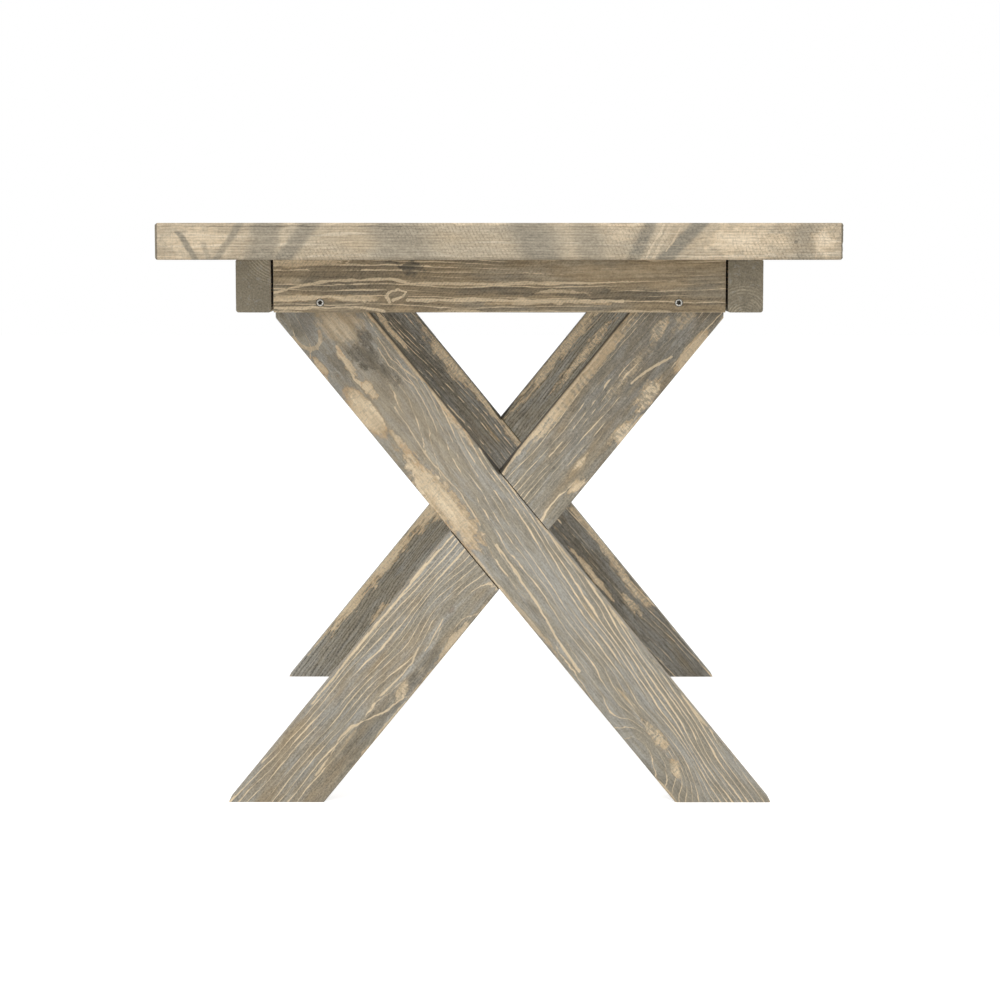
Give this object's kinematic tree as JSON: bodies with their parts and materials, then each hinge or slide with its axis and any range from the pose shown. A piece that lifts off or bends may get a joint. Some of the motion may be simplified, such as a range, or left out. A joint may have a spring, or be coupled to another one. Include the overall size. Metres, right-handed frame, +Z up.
{
  "type": "sawbuck table",
  "caption": "Dining table with a plank top, breadboard ends and long rails on half-lapped X leg frames, in grey-washed timber sanded back along the grain.",
  "frame": {"origin": "on the floor, under the middle of the top", "axes": "+Z up, +Y along the table towards its rear end, +X across it to the right as seen from the front end"},
  "size_m": [0.85, 1.4, 0.775],
  "materials": {
    "washed_top_timber": "beige-grey wash, sanded back, matt",
    "washed_frame_timber": "grey wash, sanded back to tan along the grain, matt",
    "zinc_screw": "zinc plated",
    "beech_dowel": "plain turned beech"
  },
  "bodies": {
    "root": {"top_plank_1": "washed_top_timber", "top_plank_2": "washed_top_timber", "top_plank_3": "washed_top_timber", "top_plank_4": "washed_top_timber", "end_board_front": "washed_top_timber", "end_board_rear": "washed_top_timber", "long_rail_left": "washed_frame_timber", "long_rail_right": "washed_frame_timber", "cross_batten_front": "washed_frame_timber", "cross_batten_rear": "washed_frame_timber", "frame_cleat_front": "washed_frame_timber", "frame_cleat_rear": "washed_frame_timber", "front_leg_outer_lap": "washed_frame_timber", "front_leg_inner_lap": "washed_frame_timber", "rear_leg_outer_lap": "washed_frame_timber", "rear_leg_inner_lap": "washed_frame_timber", "cleat_screws": "zinc_screw", "lap_screws": "zinc_screw", "rail_leg_screws": "zinc_screw", "rail_top_screws": "zinc_screw", "batten_screws": "zinc_screw", "end_board_dowels": "beech_dowel"}
  },
  "joints": []
}
